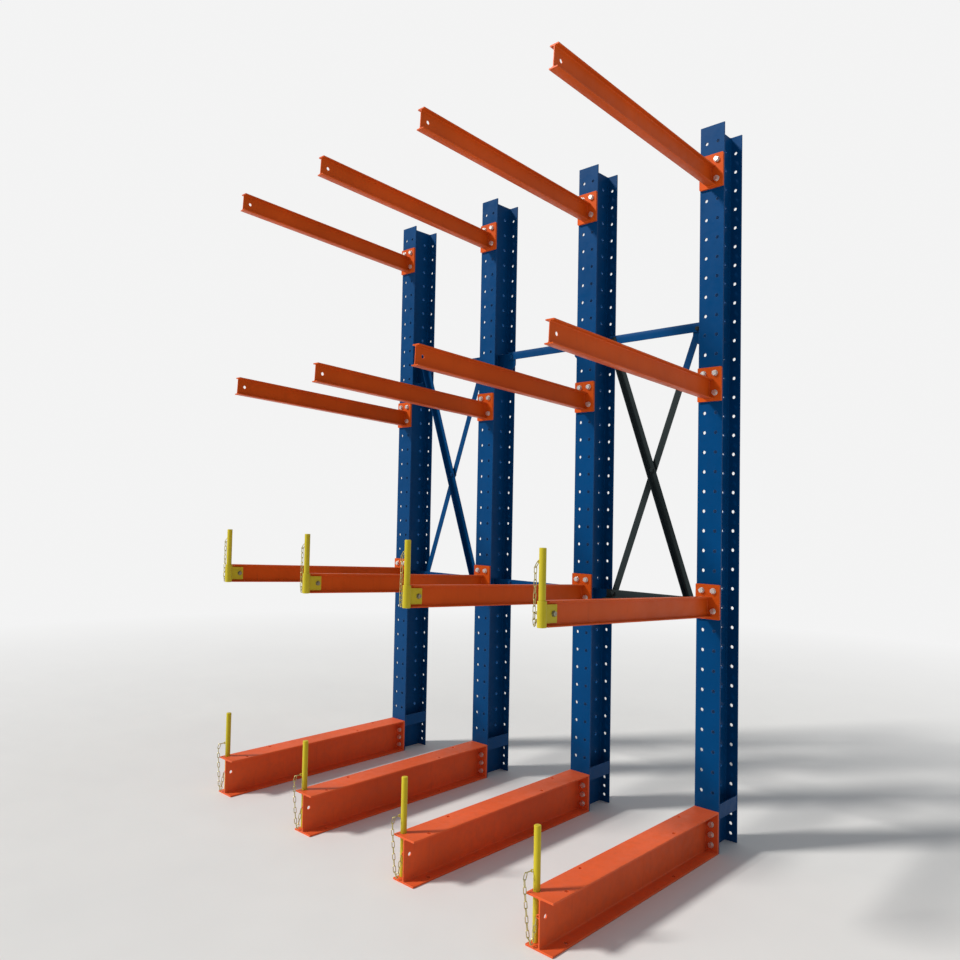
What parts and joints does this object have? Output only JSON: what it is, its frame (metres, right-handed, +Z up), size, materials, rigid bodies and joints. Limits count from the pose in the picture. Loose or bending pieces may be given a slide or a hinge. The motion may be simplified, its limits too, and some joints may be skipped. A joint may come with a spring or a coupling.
{
  "type": "cantilever rack",
  "caption": "Single-sided cantilever rack: braced I-section columns with base beams, bolted inclined arms and captive lift-out stop pins, for storing long goods.",
  "frame": {"origin": "on the floor, at the middle of the bounding box: midway along the row of columns and midway between the columns' rear faces and the fronts of the pin sockets", "axes": "+Z up, X along the row of columns, the arms reach toward -Y"},
  "size_m": [2.4775, 1.5622, 3.68],
  "materials": {
    "blue": "satin powder coat, gentian blue",
    "orange": "satin powder coat, orange-red",
    "yellow": "brushed-on yellow gloss paint",
    "green": "satin paint, dark green-grey",
    "zinc": "yellow-passivated zinc plate"
  },
  "bodies": {
    "rack": {"column_1": "blue", "column_2": "blue", "column_3": "blue", "column_4": "blue", "base_beam_1": "orange", "base_beam_2": "orange", "base_beam_3": "orange", "base_beam_4": "orange", "arm_L1_1": "orange", "arm_L1_2": "orange", "arm_L1_3": "orange", "arm_L1_4": "orange", "arm_L2_1": "orange", "arm_L2_2": "orange", "arm_L2_3": "orange", "arm_L2_4": "orange", "arm_L3_1": "orange", "arm_L3_2": "orange", "arm_L3_3": "orange", "arm_L3_4": "orange", "pin_socket_1": "yellow", "base_chain_1": "zinc", "arm_chain_1": "zinc", "socket_bolt_1": "zinc", "pin_socket_2": "yellow", "base_chain_2": "zinc", "arm_chain_2": "zinc", "socket_bolt_2": "zinc", "pin_socket_3": "yellow", "base_chain_3": "zinc", "arm_chain_3": "zinc", "socket_bolt_3": "zinc", "pin_socket_4": "yellow", "base_chain_4": "zinc", "arm_chain_4": "zinc", "socket_bolt_4": "zinc", "top_strut_1_2": "blue", "lower_strut_1_2": "blue", "diagonal_front_1_2": "blue", "diagonal_rear_1_2": "blue", "cross_bolt_1_2": "blue", "top_strut_2_3": "blue", "lower_strut_2_3": "blue", "top_strut_3_4": "blue", "lower_strut_3_4": "green", "diagonal_front_3_4": "green", "diagonal_rear_3_4": "green", "cross_bolt_3_4": "green"},
    "base_pin_1_body": {"base_pin_1": "yellow"},
    "arm_pin_1_body": {"arm_pin_1": "yellow"},
    "base_pin_2_body": {"base_pin_2": "yellow"},
    "arm_pin_2_body": {"arm_pin_2": "yellow"},
    "base_pin_3_body": {"base_pin_3": "yellow"},
    "arm_pin_3_body": {"arm_pin_3": "yellow"},
    "base_pin_4_body": {"base_pin_4": "yellow"},
    "arm_pin_4_body": {"arm_pin_4": "yellow"}
  },
  "joints": [
    {"name": "base_pin_1_lift", "type": "slide", "parent": "rack", "child": "base_pin_1_body", "axis": [0, 0, 1], "range_m": [0, 0.2], "deforming": ["base_chain_1"]},
    {"name": "arm_pin_1_lift", "type": "slide", "parent": "rack", "child": "arm_pin_1_body", "axis": [0, 0, 1], "range_m": [0, 0.1], "deforming": ["arm_chain_1"]},
    {"name": "base_pin_2_lift", "type": "slide", "parent": "rack", "child": "base_pin_2_body", "axis": [0, 0, 1], "range_m": [0, 0.2], "deforming": ["base_chain_2"]},
    {"name": "arm_pin_2_lift", "type": "slide", "parent": "rack", "child": "arm_pin_2_body", "axis": [0, 0, 1], "range_m": [0, 0.1], "deforming": ["arm_chain_2"]},
    {"name": "base_pin_3_lift", "type": "slide", "parent": "rack", "child": "base_pin_3_body", "axis": [0, 0, 1], "range_m": [0, 0.2], "deforming": ["base_chain_3"]},
    {"name": "arm_pin_3_lift", "type": "slide", "parent": "rack", "child": "arm_pin_3_body", "axis": [0, 0, 1], "range_m": [0, 0.1], "deforming": ["arm_chain_3"]},
    {"name": "base_pin_4_lift", "type": "slide", "parent": "rack", "child": "base_pin_4_body", "axis": [0, 0, 1], "range_m": [0, 0.2], "deforming": ["base_chain_4"]},
    {"name": "arm_pin_4_lift", "type": "slide", "parent": "rack", "child": "arm_pin_4_body", "axis": [0, 0, 1], "range_m": [0, 0.1], "deforming": ["arm_chain_4"]}
  ]
}
